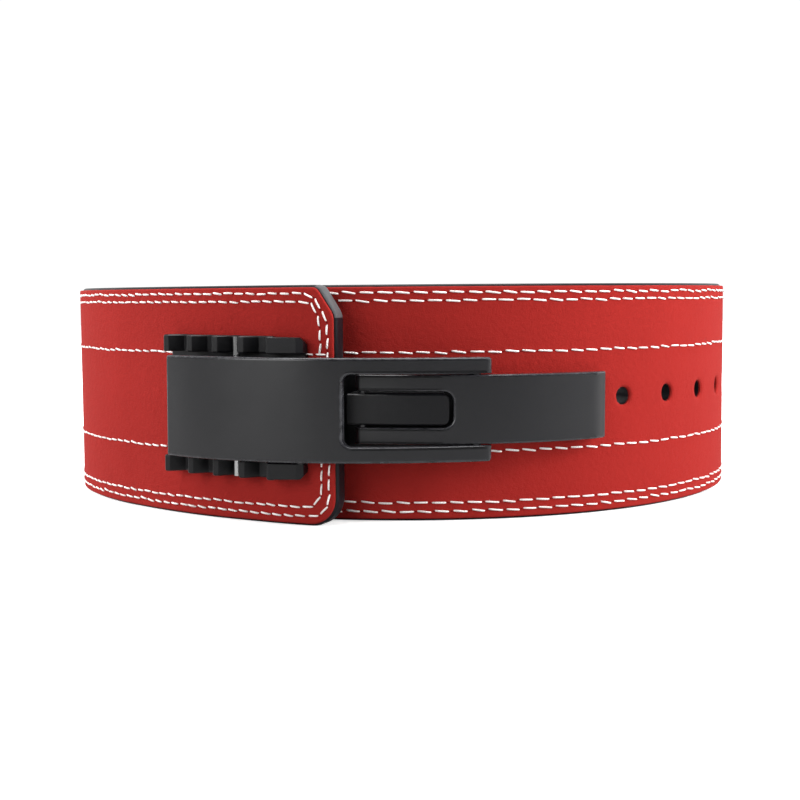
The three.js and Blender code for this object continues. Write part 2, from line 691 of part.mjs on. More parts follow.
function linkBody() {
  const outer = [];
  const inner = [];
  const steps = 24;
  for (let i = 0; i <= steps; i += 1) {
    const along = linkStart + linkLength * i / steps;
    outer.push(onFront(along, linkRise(along)));
    inner.push(onFront(along, linkRise(along) - LINK_PLATE));
  }
  const forkEnd = anchorPin.x - HANDLE_PLATE / 2 - FORK_END_CLEARANCE;
  const opening = roundedOnOneSide(
    forkEnd, forkPin.x + LINK_REACH, -forkHalf, forkHalf, FORK_CORNER, false);
  const plate = standing([...outer, ...inner.reverse()], linkBottom, linkTop, LINK_BEVEL);
  const boss = upright(forkPin, PIN_BOSS_RADIUS, linkBottom + LINK_BEVEL, linkTop - LINK_BEVEL);
  let link = plate.add(boss).subtract(seenFromFront(opening));
  const lugTop = linkRise(linkStart) + frontReach;
  const lugs = [linkBottom + LUG_INSET, linkTop - LUG_INSET - LUG_WIDTH].map((bottom) => {
    const reach = barAt.length();
    const across = new THREE.Vector2(-barAt.y, barAt.x).divideScalar(reach);
    const outward = barAt.clone().divideScalar(reach);
    const corner = (side, out) => barAt.clone()
      .addScaledVector(across, side * LUG_RADIUS)
      .addScaledVector(outward, out);
    const root = lugTop - reach;
    const web = standing([corner(-1, 0), corner(1, 0), corner(1, root), corner(-1, root)], bottom, bottom + LUG_WIDTH, 0);
    return web.add(upright(barAt, LUG_RADIUS, bottom, bottom + LUG_WIDTH));
  });
  for (const lug of lugs) link = link.add(lug);
  return link
    .subtract(pinHole(forkPin))
    .subtract(upright(barAt, BAR_RADIUS + PIN_CLEARANCE, linkBottom - CUT_MARGIN, linkTop + CUT_MARGIN));
}

// Round pins and screws

function pinMesh(name, pin, radius, bottom, top, material) {
  const geometry = new THREE.CylinderGeometry(radius, radius, top - bottom, ROUND_SIDES);
  const mesh = named(name, geometry, material);
  mesh.rotation.x = Math.PI / 2;
  mesh.position.set(pin.x, pin.y, (bottom + top) / 2);
  return mesh;
}

// A flat-headed screw whose head lies on the leather's inner face and whose shank points outwards.
function screwMesh(name, place, height, engagement) {
  const underHead = -BELT_THICKNESS - SEAT_GAP;
  const profile = [
    new THREE.Vector2(0, underHead - SCREW_HEAD_THICKNESS),
    new THREE.Vector2(SCREW_HEAD_RADIUS - SCREW_HEAD_THICKNESS / 2, underHead - SCREW_HEAD_THICKNESS),
    new THREE.Vector2(SCREW_HEAD_RADIUS, underHead - SCREW_HEAD_THICKNESS / 2),
    new THREE.Vector2(SCREW_HEAD_RADIUS, underHead),
    new THREE.Vector2(SCREW_SHANK_RADIUS, underHead),
    new THREE.Vector2(SCREW_SHANK_RADIUS, engagement),
    new THREE.Vector2(0, engagement),
  ];
  const mesh = named(name, new THREE.LatheGeometry(profile, HOLE_SIDES), METAL_BLACK);
  mesh.quaternion.setFromUnitVectors(new THREE.Vector3(0, 1, 0), place.normal);
  mesh.position.set(place.point.x, place.point.y, height);
  return mesh;
}

const buckle = new THREE.Group();
buckle.add(
  named('toothed_rack', geometryOf(toothedRack()), METAL_BLACK),
  named('anchor_block', geometryOf(anchorBlock()), METAL_BLACK),
  named('lever_handle', geometryOf(handleBody()), METAL_BLACK),
  named('fork_link', geometryOf(linkBody()), METAL_BLACK),
  pinMesh('anchor_pin', anchorPin, PIN_RADIUS, handleBottom + SEAT_GAP, handleTop - SEAT_GAP, STEEL_BRIGHT),
  pinMesh('fork_pin', forkPin, PIN_RADIUS, linkBottom + SEAT_GAP, linkTop - SEAT_GAP, STEEL_BRIGHT),
  pinMesh('crossbar', barAt, BAR_RADIUS, rackBottom + SEAT_GAP, rackTop - SEAT_GAP, STEEL_BRIGHT),
);
anchorHoles.forEach((place, i) => {
  buckle.add(screwMesh(`anchor_screw_${i + 1}`, place, anchorScrewHeight, SCREW_ENGAGEMENT));
});
rackScrewPlaces.forEach(({ place, height }, i) => {
  buckle.add(screwMesh(`rack_screw_${i + 1}`, place, height, RACK_PLATE));
});
buckle.applyMatrix4(buckleFrame);

const belt = new THREE.Group();
belt.add(
  named('belt_core', geometryOf(core), LEATHER_BLACK),
  named('suede_face', geometryOf(skin), SUEDE_RED),
  buckle,
);

// The origin is on the floor, under the middle of the whole belt.
const middle = new THREE.Box3().setFromObject(belt, true).getCenter(new THREE.Vector3());
belt.position.set(-middle.x, -middle.y, 0);

export default belt;
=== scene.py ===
"""A lever weightlifting belt of red suede on black leather, standing on its edge.

All lengths are in metres. The belt is one strip of leather wound into a lapped loop. A place on the
strip is given by its run along the outer surface from the inner end and its height above the lower
edge; a place on the buckle by its run along the front of the loop and its height from the buckle's
middle. Angles around the loop are measured from the front towards +X.
"""
import math

import bpy
import numpy as np
from mathutils import Matrix, Vector


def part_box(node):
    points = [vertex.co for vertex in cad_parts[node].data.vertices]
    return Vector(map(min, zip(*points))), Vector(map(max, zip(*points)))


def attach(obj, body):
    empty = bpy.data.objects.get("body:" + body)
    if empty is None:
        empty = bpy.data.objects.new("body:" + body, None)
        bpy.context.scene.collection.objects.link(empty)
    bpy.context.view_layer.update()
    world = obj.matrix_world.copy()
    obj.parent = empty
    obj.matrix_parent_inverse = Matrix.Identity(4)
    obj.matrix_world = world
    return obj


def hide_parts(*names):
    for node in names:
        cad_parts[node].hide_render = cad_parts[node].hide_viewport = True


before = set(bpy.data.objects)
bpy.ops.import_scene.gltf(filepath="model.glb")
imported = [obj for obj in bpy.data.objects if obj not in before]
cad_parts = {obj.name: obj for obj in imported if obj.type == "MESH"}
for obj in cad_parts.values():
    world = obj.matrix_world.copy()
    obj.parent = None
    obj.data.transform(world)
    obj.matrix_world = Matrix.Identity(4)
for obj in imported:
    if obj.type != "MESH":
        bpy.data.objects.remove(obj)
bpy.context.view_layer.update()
scene = bpy.context.scene

# Camera
# A long lens at the height of the belt's upper edge, 0.73 m in front of the loop's middle. It
# looks four degrees down and is turned half a degree about its own axis.
camera_data = bpy.data.cameras.new("front_camera")
camera_data.sensor_width = 36.0
camera_data.lens = 62.18
camera = bpy.data.objects.new("front_camera", camera_data)
scene.collection.objects.link(camera)
camera.matrix_world = (
    Matrix.Translation((-0.00186, -0.72973, 0.09533))
    @ Matrix.Rotation(math.pi / 2 - 0.0755, 4, "X")
    @ Matrix.Rotation(-0.0078, 4, "Z")
)
scene.camera = camera
scene.view_settings.view_transform = "Standard"
scene.view_settings.look = "None"

# Studio
# A plain white floor and backdrop that glow to the camera alone, a large soft light at each side
# that metal doesn't mirror, a key light at the front left and a long one overhead. The air in
# front is dim, so that black metal reflects little of it.
FLOOR_SIZE = 8.0
FLOOR_GLOW = (0.55, 1.0)
FLOOR_GLOW_SPAN = (0.2, 0.7)
FLOOR_TO_CAMERA = (0.85, 0.85, 0.85, 1)
FLOOR_TO_LIGHT = (0.40, 0.40, 0.40, 1)
BACKDROP_GLOW = 1.05
AIR_SIDES = 0.45
AIR_GLOW = (0.10, 1.0)
AIR_GLOW_SPAN = (-0.1, 0.4)
WHITE = (1, 1, 1, 1)


def shader_node(tree, kind, links=None, **settings):
    """A node of that kind in the tree. Settings name its properties, and links names its sockets,
    by name or number, with a value or with the socket that feeds each."""
    made = tree.nodes.new(kind)
    for name, value in settings.items():
        setattr(made, name, value)
    for name, value in (links or {}).items():
        socket = made.inputs[name]
        if isinstance(value, bpy.types.NodeSocket):
            tree.links.new(value, socket)
        else:
            socket.default_value = value
    return made


def maths(tree, operation, *values):
    """The result of one Math node on plain values or sockets."""
    links = dict(enumerate(values))
    return shader_node(tree, "ShaderNodeMath", links, operation=operation).outputs[0]


def mapped(tree, value, span, onto):
    """A value's place across one span carried onto another, and held at its ends."""
    ends = zip(("From Min", "From Max", "To Min", "To Max"), (*span, *onto))
    return shader_node(tree, "ShaderNodeMapRange", {"Value": value, **dict(ends)}).outputs[0]


def noise(tree, scale, detail, roughness=0.5):
    """Cloudy noise from 0 to 1 in the piece's own space, with that many clouds a metre."""
    links = {"Scale": scale, "Detail": detail, "Roughness": roughness}
    links["Vector"] = shader_node(tree, "ShaderNodeTexCoord").outputs["Object"]
    return shader_node(tree, "ShaderNodeTexNoise", links).outputs["Fac"]


def toned(tree, value, low, high, span=(0.0, 1.0)):
    """A colour between two, by a value's place across a span."""
    ramp = shader_node(tree, "ShaderNodeValToRGB", {"Fac": value})
    for element, colour, at in zip(ramp.color_ramp.elements, (low, high), span):
        element.position = at
        element.color = (*colour, 1)
    return ramp.outputs["Color"]


def bumped(tree, height, distance, strength, normal=None):
    """A normal that is bumped by a height, on top of another normal where one is given."""
    links = {"Height": height, "Distance": distance, "Strength": strength}
    if normal is not None:
        links["Normal"] = normal
    return shader_node(tree, "ShaderNodeBump", links).outputs[0]


def shared_group(name, inputs, outputs):
    """An empty node group. Inputs are pairs of a name and a first value, and those with a tuple
    are colours, as is the output named Colour."""
    group = bpy.data.node_groups.new(name, "ShaderNodeTree")
    kinds = {True: "NodeSocketColor", False: "NodeSocketFloat"}
    for key, value in inputs:
        kind = kinds[isinstance(value, tuple)]
        group.interface.new_socket(key, in_out="INPUT", socket_type=kind).default_value = value
    for key in outputs:
        group.interface.new_socket(key, in_out="OUTPUT", socket_type=kinds[key == "Colour"])
    return group


def finish_of(name, values):
    """A material with one Principled shader. values is given the node tree and gives, for each
    socket of the shader that it names, a plain value or the socket that feeds it."""
    material = bpy.data.materials.new(name)
    material.use_nodes = True
    tree = material.node_tree
    tree.nodes.clear()
    shader = shader_node(tree, "ShaderNodeBsdfPrincipled", values(tree))
    shader_node(tree, "ShaderNodeOutputMaterial", {"Surface": shader.outputs[0]})
    return material


def seen_by_camera(tree, camera_side, other_side):
    """One shader for the camera's own rays and another for light on its way to a surface."""
    to_camera = shader_node(tree, "ShaderNodeLightPath").outputs["Is Camera Ray"]
    links = {0: to_camera, 1: other_side, 2: camera_side}
    return shader_node(tree, "ShaderNodeMixShader", links).outputs[0]


def softbox(name, place, aim, width, height, watts, mirrored=True):
    """A rectangular area light at a place, facing the point that it aims at. One that isn't
    mirrored lights surfaces without showing in them."""
    data = bpy.data.lights.new(name, "AREA")
    data.shape = "RECTANGLE"
    data.size = width
    data.size_y = height
    data.energy = watts
    light = bpy.data.objects.new(name, data)
    scene.collection.objects.link(light)
    facing = (Vector(aim) - Vector(place)).to_track_quat("-Z", "Y").to_matrix().to_4x4()
    light.matrix_world = Matrix.Translation(place) @ facing
    light.visible_glossy = mirrored


floor_mesh = bpy.data.meshes.new("studio_floor")
half_floor = FLOOR_SIZE / 2
floor_corners = ((-1, -1), (1, -1), (1, 1), (-1, 1))
floor_mesh.from_pydata(
    [(x * half_floor, y * half_floor, 0) for x, y in floor_corners], [], [(0, 1, 2, 3)]
)
floor_finish = bpy.data.materials.new("white_floor")
floor_finish.use_nodes = True
floor_tree = floor_finish.node_tree
floor_tree.nodes.clear()
floor_place = shader_node(floor_tree, "ShaderNodeTexCoord").outputs["Object"]
floor_far = shader_node(
    floor_tree, "ShaderNodeVectorMath", {0: floor_place}, operation="LENGTH"
).outputs["Value"]
floor_strength = mapped(floor_tree, floor_far, FLOOR_GLOW_SPAN, FLOOR_GLOW)
floor_glow = shader_node(
    floor_tree, "ShaderNodeEmission", {"Color": WHITE, "Strength": floor_strength}
).outputs[0]
floor_white, floor_grey = (
    shader_node(floor_tree, "ShaderNodeBsdfDiffuse", {"Color": colour}).outputs[0]
    for colour in (FLOOR_TO_CAMERA, FLOOR_TO_LIGHT)
)
floor_lit = shader_node(
    floor_tree, "ShaderNodeAddShader", {0: floor_glow, 1: floor_white}
).outputs[0]
floor_surface = seen_by_camera(floor_tree, floor_lit, floor_grey)
shader_node(floor_tree, "ShaderNodeOutputMaterial", {"Surface": floor_surface})
floor_mesh.materials.append(floor_finish)
floor = bpy.data.objects.new("studio_floor", floor_mesh)
scene.collection.objects.link(floor)

world = bpy.data.worlds.new("studio")
scene.world = world
world.use_nodes = True
sky = world.node_tree
sky.nodes.clear()
sky_way = shader_node(sky, "ShaderNodeTexCoord").outputs["Generated"]
sky_parts = shader_node(sky, "ShaderNodeSeparateXYZ", {0: sky_way}).outputs
sky_sides = maths(sky, "POWER", maths(sky, "ABSOLUTE", sky_parts[0]), 3.0)
sky_back = mapped(sky, sky_parts[1], AIR_GLOW_SPAN, AIR_GLOW)
sky_strength = maths(sky, "MULTIPLY_ADD", sky_sides, AIR_SIDES, sky_back)
ambient, backdrop = (
    shader_node(sky, "ShaderNodeBackground", {"Color": WHITE, "Strength": strength}).outputs[0]
    for strength in (sky_strength, BACKDROP_GLOW)
)
shader_node(sky, "ShaderNodeOutputWorld", {"Surface": seen_by_camera(sky, backdrop, ambient)})

softbox("left_softbox", (-1.30, 0.26, 0.50), (-0.05, 0.0, 0.05), 0.8, 0.9, 23, mirrored=False)
softbox("key_softbox", (-0.86, -1.10, 0.55), (-0.05, 0.0, 0.05), 0.9, 0.7, 10.5)
softbox("right_softbox", (1.20, -0.40, 0.50), (0.05, 0.0, 0.05), 0.8, 0.9, 32, mirrored=False)
softbox("top_softbox", (0.0, -0.15, 1.3), (0.0, -0.05, 0.0), 1.2, 0.5, 18)

# Leather strip
# Two layers of thick dyed cowhide, pressed together into one strip 10 mm thick and 100 mm high,
# rounded and inked black along the edge, with a short black nap on the side against the body. The
# ink is a lighter grey where the tip's upper corner is cut off.
BELT_HEIGHT = 0.100
BELT_THICKNESS = 0.010
BELT_RADIUS = 0.1618
SKIN_THICKNESS = 0.0016
LOOP_TURNS = np.array([
    -46, -25, 0, 30, 60, 90, 135, 180, 225, 270, 288.8, 305.9, 313, 323, 335.4, 342.2, 349.7,
])
LOOP_REACH = np.array([
    0.9722, 0.9876, 0.9926, 1.0025, 1.0060, 1.0040, 1.0040, 1.0000, 0.9950, 0.9900, 0.9925, 0.9815,
    0.9753, 0.9797, 0.9894, 0.9982, 1.0062,
])
LAP_LIFT = np.array([
    0, 0, 0, 0, 0, 0, 0.08, 0.28, 0.60, 1.00, 1.10, 1.10, 1.10, 1.10, 1.22, 1.40, 1.60,
])
LOOP_OFFSET = (0.00391, 0.00570)
LINE_SAMPLES = 6001
END_CORNER = 0.012
END_STEPS = 11
END_MARGIN = 0.002
TIP_CHAMFER = (0.008, 0.012)
CHAMFER_EASE = 0.0025
CORE_EDGE = 0.0013
HOLE_RADIUS = 0.004
HOLE_PITCH = 0.0293
HOLE_HEIGHT = 0.0506
FIRST_HOLE = -0.0488
HOLE_COUNT = 10
HOLE_BLOCK = 0.008
HOLE_CELLS = 8
GRID_STEP = 0.0030
HOLE_SURROUND = 0.0062
RIM_ON_FACE = 0.6
SHARP_ANGLE = 38


def through_rows(at, places, values):
    """A cubic through rows of values. Its slope at a row is the slope between the neighbours."""
    slope = np.empty(len(values))
    slope[1:-1] = (values[2:] - values[:-2]) / (places[2:] - places[:-2])
    slope[0] = (values[1] - values[0]) / (places[1] - places[0])
    slope[-1] = (values[-1] - values[-2]) / (places[-1] - places[-2])
    i = np.clip(np.searchsorted(places, at, side="right") - 1, 0, len(places) - 2)
    width = places[i + 1] - places[i]
    t = (at - places[i]) / width
    rest = 1 - t
    return (
        values[i] * rest * rest * (1 + 2 * t)
        + values[i + 1] * t * t * (3 - 2 * t)
        + width * (slope[i] * t * rest * rest - slope[i + 1] * t * t * rest)
    )


def belt_reach(turn):
    """Distance from the loop's axis to the strip's outer surface at a turn in degrees: a share of
    the belt's radius plus a share of its thickness where it laps over itself."""
    radius = BELT_RADIUS * through_rows(turn, LOOP_TURNS, LOOP_REACH)
    return radius + BELT_THICKNESS * through_rows(turn, LOOP_TURNS, LAP_LIFT)


core_low, core_high = (np.array(corner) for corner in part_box("belt_core"))
loop_middle = (core_low + core_high)[:2] / 2 + LOOP_OFFSET
turn_table = np.linspace(LOOP_TURNS[0], LOOP_TURNS[-1], LINE_SAMPLES)
angle_table = np.radians(turn_table)
way_out = np.stack([np.sin(angle_table), -np.cos(angle_table)], -1)
line_table = belt_reach(turn_table)[:, None] * way_out + loop_middle
step_table = np.linalg.norm(np.diff(line_table, axis=0), axis=1)
run_table = np.concatenate([[0], np.cumsum(step_table)])
along_table = np.gradient(line_table, run_table, axis=0)
along_table /= np.linalg.norm(along_table, axis=1)[:, None]
strip_length = run_table[-1]
front_reach = float(belt_reach(np.array(0.0)))


def strip_point(plan, depth):
    """The point at a run and a height on the strip, at a depth under its outer surface: the point
    of the belt line there, moved inwards square to the line."""
    run = plan[..., 0]
    x, y = (np.interp(run, run_table, line_table[:, k]) for k in (0, 1))
    along_x, along_y = (np.interp(run, run_table, along_table[:, k]) for k in (0, 1))
    return np.stack([x - along_y * depth, y + along_x * depth, plan[..., 1] + 0 * depth], -1)


def stations(start, stop, marks, step):
    """Places from start to stop about a step apart, with a block of even cells round each mark."""
    edges = [start]
    for mark in marks:
        edges += [mark - HOLE_BLOCK, mark + HOLE_BLOCK]
    edges.append(stop)
    runs = []
    for k, (low, high) in enumerate(zip(edges[:-1], edges[1:])):
        cells = HOLE_CELLS if k % 2 else max(1, round((high - low) / step))
        runs.append(np.linspace(low, high, cells, endpoint=False))
    return np.concatenate(runs + [[stop]])


def bend(start, corner, stop, steps):
    """A quadratic curve from start to stop that leans towards the corner."""
    start, corner, stop = (np.array(point) for point in (start, corner, stop))
    t = np.linspace(0, 1, steps)[:, None]
    return (1 - t) ** 2 * start + 2 * t * (1 - t) * corner + t * t * stop


def closed_loop(bottom, right, top, left):
    """One closed outline from four sides: bottom and top run left to right, and right and left
    upwards."""
    return np.concatenate([bottom[:-1], right[:-1], top[:0:-1], left[:0:-1]])


def moved_in(loop, distance):
    """A closed outline moved inwards. Each corner moves along the sum of its two edges' inward
    normals, divided by one plus the cosine between them."""
    ahead = np.roll(loop, -1, 0) - loop
    ahead /= np.linalg.norm(ahead, axis=1)[:, None]
    normal = np.stack([-ahead[:, 1], ahead[:, 0]], -1)
    before = np.roll(normal, 1, 0)
    cosine = (normal * before).sum(1)[:, None]
    return loop + distance * (normal + before) / (1 + cosine)


def patch(loop, u, v):
    """The grid inside a closed outline: the blend between bottom and top, plus the blend between
    left and right, less the blend between the four corners."""
    n, m = len(u), len(v)
    bottom = loop[:n]
    right = loop[n - 1 : n + m - 1]
    top = loop[n + m - 2 : 2 * n + m - 2][::-1]
    left = np.concatenate([loop[2 * n + m - 3 :], loop[:1]])[::-1]
    u, v = u[:, None, None], v[None, :, None]
    corners = (
        (1 - u) * (1 - v) * bottom[0] + u * (1 - v) * bottom[-1]
        + (1 - u) * v * top[0] + u * v * top[-1]
    )
    upwards = (1 - v) * bottom[:, None] + v * top[:, None]
    return upwards + (1 - u) * left[None] + u * right[None] - corners


def rounded_edge(radius, steps=4, margin=0.0007):
    """Rows (inset, share, shift) over a slab's edge: a narrow strip of the face, a quarter round
    that ends radius below it, and the same mirrored on the back. At an angle a the quarter round
    lies radius(1 - sin a) inside the outline and radius(1 - cos a) below the face."""
    a = np.linspace(0, math.pi / 2, steps + 1)
    face = np.stack([radius * (1 - np.sin(a)), 0 * a, radius * (1 - np.cos(a))], -1)
    face = np.concatenate([[[radius + margin, 0, 0]], face])
    return np.concatenate([face, face[::-1] * (1, 1, -1) + (0, 1, 0)])


def ring_quads(rings):
    """Quads between closed rings of points, each ring further round the edge than the last."""
    rings = np.array(rings)
    here, beyond = rings[:-1], rings[1:]
    return np.stack([here, beyond, np.roll(beyond, -1, 1), np.roll(here, -1, 1)], -1).reshape(-1, 4)


def block_border(block):
    """The numbers along a grid block's border, once round from its first corner."""
    return np.concatenate([block[:-1, 0], block[-1, :-1], block[:0:-1, -1], block[0, :0:-1]])


def slab(loop, u, v, edge, place, holes=(), hole_edge=()):
    """A closed slab over an outline: a grid for the face and one for the back, and rings of points
    round the edge between them. place(plan, share, shift) puts a plan point into space. Round a
    hole a block of cells gives way to rings (radius, share, shift) that run through to the back.
    Gives points, quads, plan, the rim's weight at each point and the zone of each quad: 0 face,
    1 edge, 2 back, 3 hole."""
    n, m = len(u), len(v)
    grid = np.arange(n * m).reshape(n, m)
    faces = [patch(moved_in(loop, edge[k][0]), u, v).reshape(-1, 2) for k in (0, -1)]
    plan = list(faces)
    share = [np.full(n * m, float(edge[k][1])) for k in (0, -1)]
    shift = [np.full(n * m, float(edge[k][2])) for k in (0, -1)]
    rim = [np.zeros(n * m), np.zeros(n * m)]
    count = 2 * n * m

    def add_ring(ring, part, down, weight):
        """Points along one ring, at a share, a shift and a weight, and their numbers."""
        nonlocal count
        plan.append(ring)
        for values, value in ((share, part), (shift, down), (rim, weight)):
            values.append(np.full(len(ring), float(value)))
        count += len(ring)
        return np.arange(count - len(ring), count)

    border = block_border(grid)
    rings = [border]
    for inset, part, down in edge[1:-1]:
        weight = 1.0 if abs(down) > 0 else RIM_ON_FACE
        rings.append(add_ring(moved_in(loop, inset), part, down, weight))
    edge_quads = ring_quads(rings + [border + n * m])
    keep = np.ones((n - 1, m - 1), bool)
    used = np.ones((n, m), bool)
    columns = faces[0].reshape(n, m, 2)[:, m // 2, 0]
    rows = faces[0].reshape(n, m, 2)[n // 2, :, 1]
    hole_quads = []
    for centre in holes:
        i0, i1, j0, j1 = (
            int(np.abs(places - at - side).argmin())
            for places, at in zip((columns, rows), centre)
            for side in (-HOLE_BLOCK, HOLE_BLOCK)
        )
        keep[i0:i1, j0:j1] = False
        used[i0 + 1 : i1, j0 + 1 : j1] = False
        border = block_border(grid[i0 : i1 + 1, j0 : j1 + 1])
        away = faces[0][border] - centre
        away /= np.linalg.norm(away, axis=1)[:, None]
        rings = [border]
        for radius, part, down in hole_edge:
            rings.append(add_ring(np.array(centre) + radius * away, part, down, 0.0))
        hole_quads.append(ring_quads(rings + [border + n * m])[:, ::-1])
    cells = np.stack([grid[:-1, :-1], grid[1:, :-1], grid[1:, 1:], grid[:-1, 1:]], -1)[keep]
    parts = [cells, edge_quads, cells[:, ::-1] + n * m]
    if hole_quads:
        parts.append(np.concatenate(hole_quads))
    zones = np.concatenate([np.full(len(part), k) for k, part in enumerate(parts)])
    quads = np.concatenate(parts)
    plan, share, shift, rim = (np.concatenate(x) for x in (plan, share, shift, rim))
    alive = np.concatenate([used.ravel(), used.ravel(), np.ones(count - 2 * n * m, bool)])
    renumbered = np.cumsum(alive) - 1
    points = place(plan, share, shift)
    return points[alive], renumbered[quads], plan[alive], rim[alive], zones


def make_piece(
    name, points, faces, materials, body, plan=None, rim=None, zones=None, sharp=SHARP_ANGLE
):
    """A mesh object that rides on a body. plan becomes its UV map in metres, rim an attribute, and
    zones the number of the material of each face."""
    mesh = bpy.data.meshes.new(name)
    mesh.from_pydata(points.tolist(), [], faces if isinstance(faces, list) else faces.tolist())
    for material in materials:
        mesh.materials.append(material)
    if zones is not None:
        mesh.polygons.foreach_set("material_index", np.asarray(zones, np.int32))
    if plan is not None:
        corner_points = np.empty(len(mesh.loops), np.int32)
        mesh.loops.foreach_get("vertex_index", corner_points)
        uv = mesh.uv_layers.new(name="UVMap").data
        uv.foreach_set("uv", plan[corner_points].ravel().astype(np.float32))
    if rim is not None:
        weights = mesh.attributes.new("rim", "FLOAT", "POINT").data
        weights.foreach_set("value", rim.astype(np.float32))
    mesh.polygons.foreach_set("use_smooth", np.ones(len(mesh.polygons), bool))
    mesh.set_sharp_from_angle(angle=math.radians(sharp))
    mesh.update()
    piece = bpy.data.objects.new(name, mesh)
    scene.collection.objects.link(piece)
    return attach(piece, body)


def strip_outline(columns, rows):
    """The strip's closed outline: rounded corners at the inner end, a chamfer at the top of the tip
    and a rounded corner under it, with as many points above as below."""
    quarter = np.linspace(0, math.pi / 2, END_STEPS)
    start = END_CORNER * np.stack([1 - np.cos(quarter), 1 - np.sin(quarter)], -1)
    stop = np.array([strip_length, 0]) + start[::-1] * (-1, 1)
    middle = np.stack([columns, 0 * columns], -1)
    bottom = np.concatenate([start, middle, stop])
    chamfer_top = (strip_length - TIP_CHAMFER[0], BELT_HEIGHT)
    chamfer_foot = (strip_length, BELT_HEIGHT - TIP_CHAMFER[1])
    lean = np.array(chamfer_foot) - chamfer_top
    lean *= CHAMFER_EASE / np.linalg.norm(lean)
    top_start = (chamfer_top[0] - CHAMFER_EASE, BELT_HEIGHT)
    foot_stop = (strip_length, chamfer_foot[1] - CHAMFER_EASE)
    chamfer = np.concatenate([
        bend(top_start, chamfer_top, chamfer_top + lean, END_STEPS // 2),
        bend(chamfer_foot - lean, chamfer_foot, foot_stop, END_STEPS - END_STEPS // 2),
    ])
    top = np.concatenate([
        (0, BELT_HEIGHT) + start * (1, -1),
        middle + (0, BELT_HEIGHT),
        chamfer,
    ])
    left = np.stack([0 * rows, END_CORNER + (BELT_HEIGHT - 2 * END_CORNER) * rows], -1)
    right = np.stack([0 * rows + strip_length, END_CORNER + (foot_stop[1] - END_CORNER) * rows], -1)
    return closed_loop(bottom, right, top, left), bottom[:, 0] / strip_length


def between_depths(outside, inside):
    """A placing of plan points on the strip between two depths."""
    span = inside - outside
    return lambda plan, share, shift: strip_point(plan, outside + span * share + shift)


hole_turns = np.degrees((FIRST_HOLE + HOLE_PITCH * np.arange(HOLE_COUNT)) / front_reach)
hole_runs = np.interp(hole_turns, turn_table, run_table)
hole_places = [(run, HOLE_HEIGHT) for run in hole_runs]
strip_stop = strip_length - END_CORNER - END_MARGIN
strip_columns = stations(END_CORNER + END_MARGIN, strip_stop, hole_runs, GRID_STEP)
strip_rows = stations(0, BELT_HEIGHT, [HOLE_HEIGHT], GRID_STEP) / BELT_HEIGHT
strip_loop, strip_u = strip_outline(strip_columns, strip_rows)


# A short nap, as on suede: fine fibres that lie in soft clouds, with a darker or lighter shade
# where they have been brushed one way or the other.
nap_group = shared_group(
    "short_nap",
    (("Colour", (0.5, 0.05, 0.05, 1)), ("Brushed", 0.15), ("Fibre", 0.1)),
    ("Colour", "Height"),
)
nap_in = shader_node(nap_group, "NodeGroupInput").outputs
nap_cloud = noise(nap_group, 24.0, 4.0, 0.6)
nap_fibre = noise(nap_group, 1900.0, 3.0, 0.65)
nap_tuft = noise(nap_group, 420.0, 3.0, 0.6)
cloud_part = maths(nap_group, "SUBTRACT", nap_cloud, 0.5)
tuft_part = maths(nap_group, "SUBTRACT", nap_tuft, 0.5)
cloud_shade = maths(nap_group, "MULTIPLY", cloud_part, nap_in["Brushed"])
tuft_shade = maths(nap_group, "MULTIPLY", tuft_part, nap_in["Fibre"])
shade_gain = maths(nap_group, "ADD", maths(nap_group, "ADD", cloud_shade, tuft_shade), 1.0)
nap_tint = shader_node(
    nap_group, "ShaderNodeVectorMath", {0: nap_in["Colour"], "Scale": shade_gain}, operation="SCALE"
).outputs[0]
nap_height = maths(nap_group, "MULTIPLY_ADD", nap_fibre, 0.6, nap_tuft)
shader_node(nap_group, "NodeGroupOutput", {"Colour": nap_tint, "Height": nap_height})


def napped(name, colour, brushed, fibre, depth, roughness, sheen):
    """A suede finish: the nap's colour, and its height as a bump of that depth."""

    def values(tree):
        settings = {"Colour": (*colour, 1), "Brushed": brushed, "Fibre": fibre}
        nap = shader_node(tree, "ShaderNodeGroup", settings, node_tree=nap_group).outputs
        return {
            "Base Color": nap["Colour"],
            "Roughness": roughness,
            "Normal": bumped(tree, nap["Height"], depth, 0.8),
            "Sheen Weight": sheen,
            "Sheen Roughness": 0.45,
            "Specular IOR Level": 0.08,
        }

    return finish_of(name, values)


def edge_ink(name, dark, light):
    """Edge ink on leather: a smooth coat with fine ripples and a few dull patches."""

    def values(tree):
        return {
            "Base Color": toned(tree, noise(tree, 120.0, 4.0), dark, light),
            "Roughness": mapped(tree, noise(tree, 70.0, 4.0), (0.0, 1.0), (0.34, 0.48)),
            "Normal": bumped(tree, noise(tree, 260.0, 5.0, 0.6), 0.0003, 0.5),
            "Specular IOR Level": 0.25,
        }

    return finish_of(name, values)


black_lining = napped("black_lining", (0.016, 0.016, 0.018), 0.5, 0.5, 0.0004, 0.95, 0.12)
black_ink = edge_ink("black_ink", (0.003, 0.003, 0.004), (0.009, 0.009, 0.012))
# A lighter grey edge ink for the facet where the tip's upper corner is cut off.
corner_grey_ink = edge_ink("corner_grey_ink", (0.04, 0.04, 0.042), (0.08, 0.08, 0.084))
core_hole_edge = [
    (HOLE_SURROUND, 0, 0), (HOLE_RADIUS, 0, 0), (HOLE_RADIUS, 1, -0.0006),
    (HOLE_RADIUS + 0.0005, 1, -0.00015), (HOLE_SURROUND, 1, 0),
]
core_points, core_quads, core_plan, core_rim, core_zones = slab(
    strip_loop,
    strip_u,
    strip_rows,
    rounded_edge(CORE_EDGE),
    between_depths(SKIN_THICKNESS + 0.00003, BELT_THICKNESS),
    hole_places,
    core_hole_edge,
)
core_finish = np.where(core_zones == 2, 1, 0)
cut_from = np.array([strip_length, BELT_HEIGHT]) - TIP_CHAMFER - CHAMFER_EASE / 2
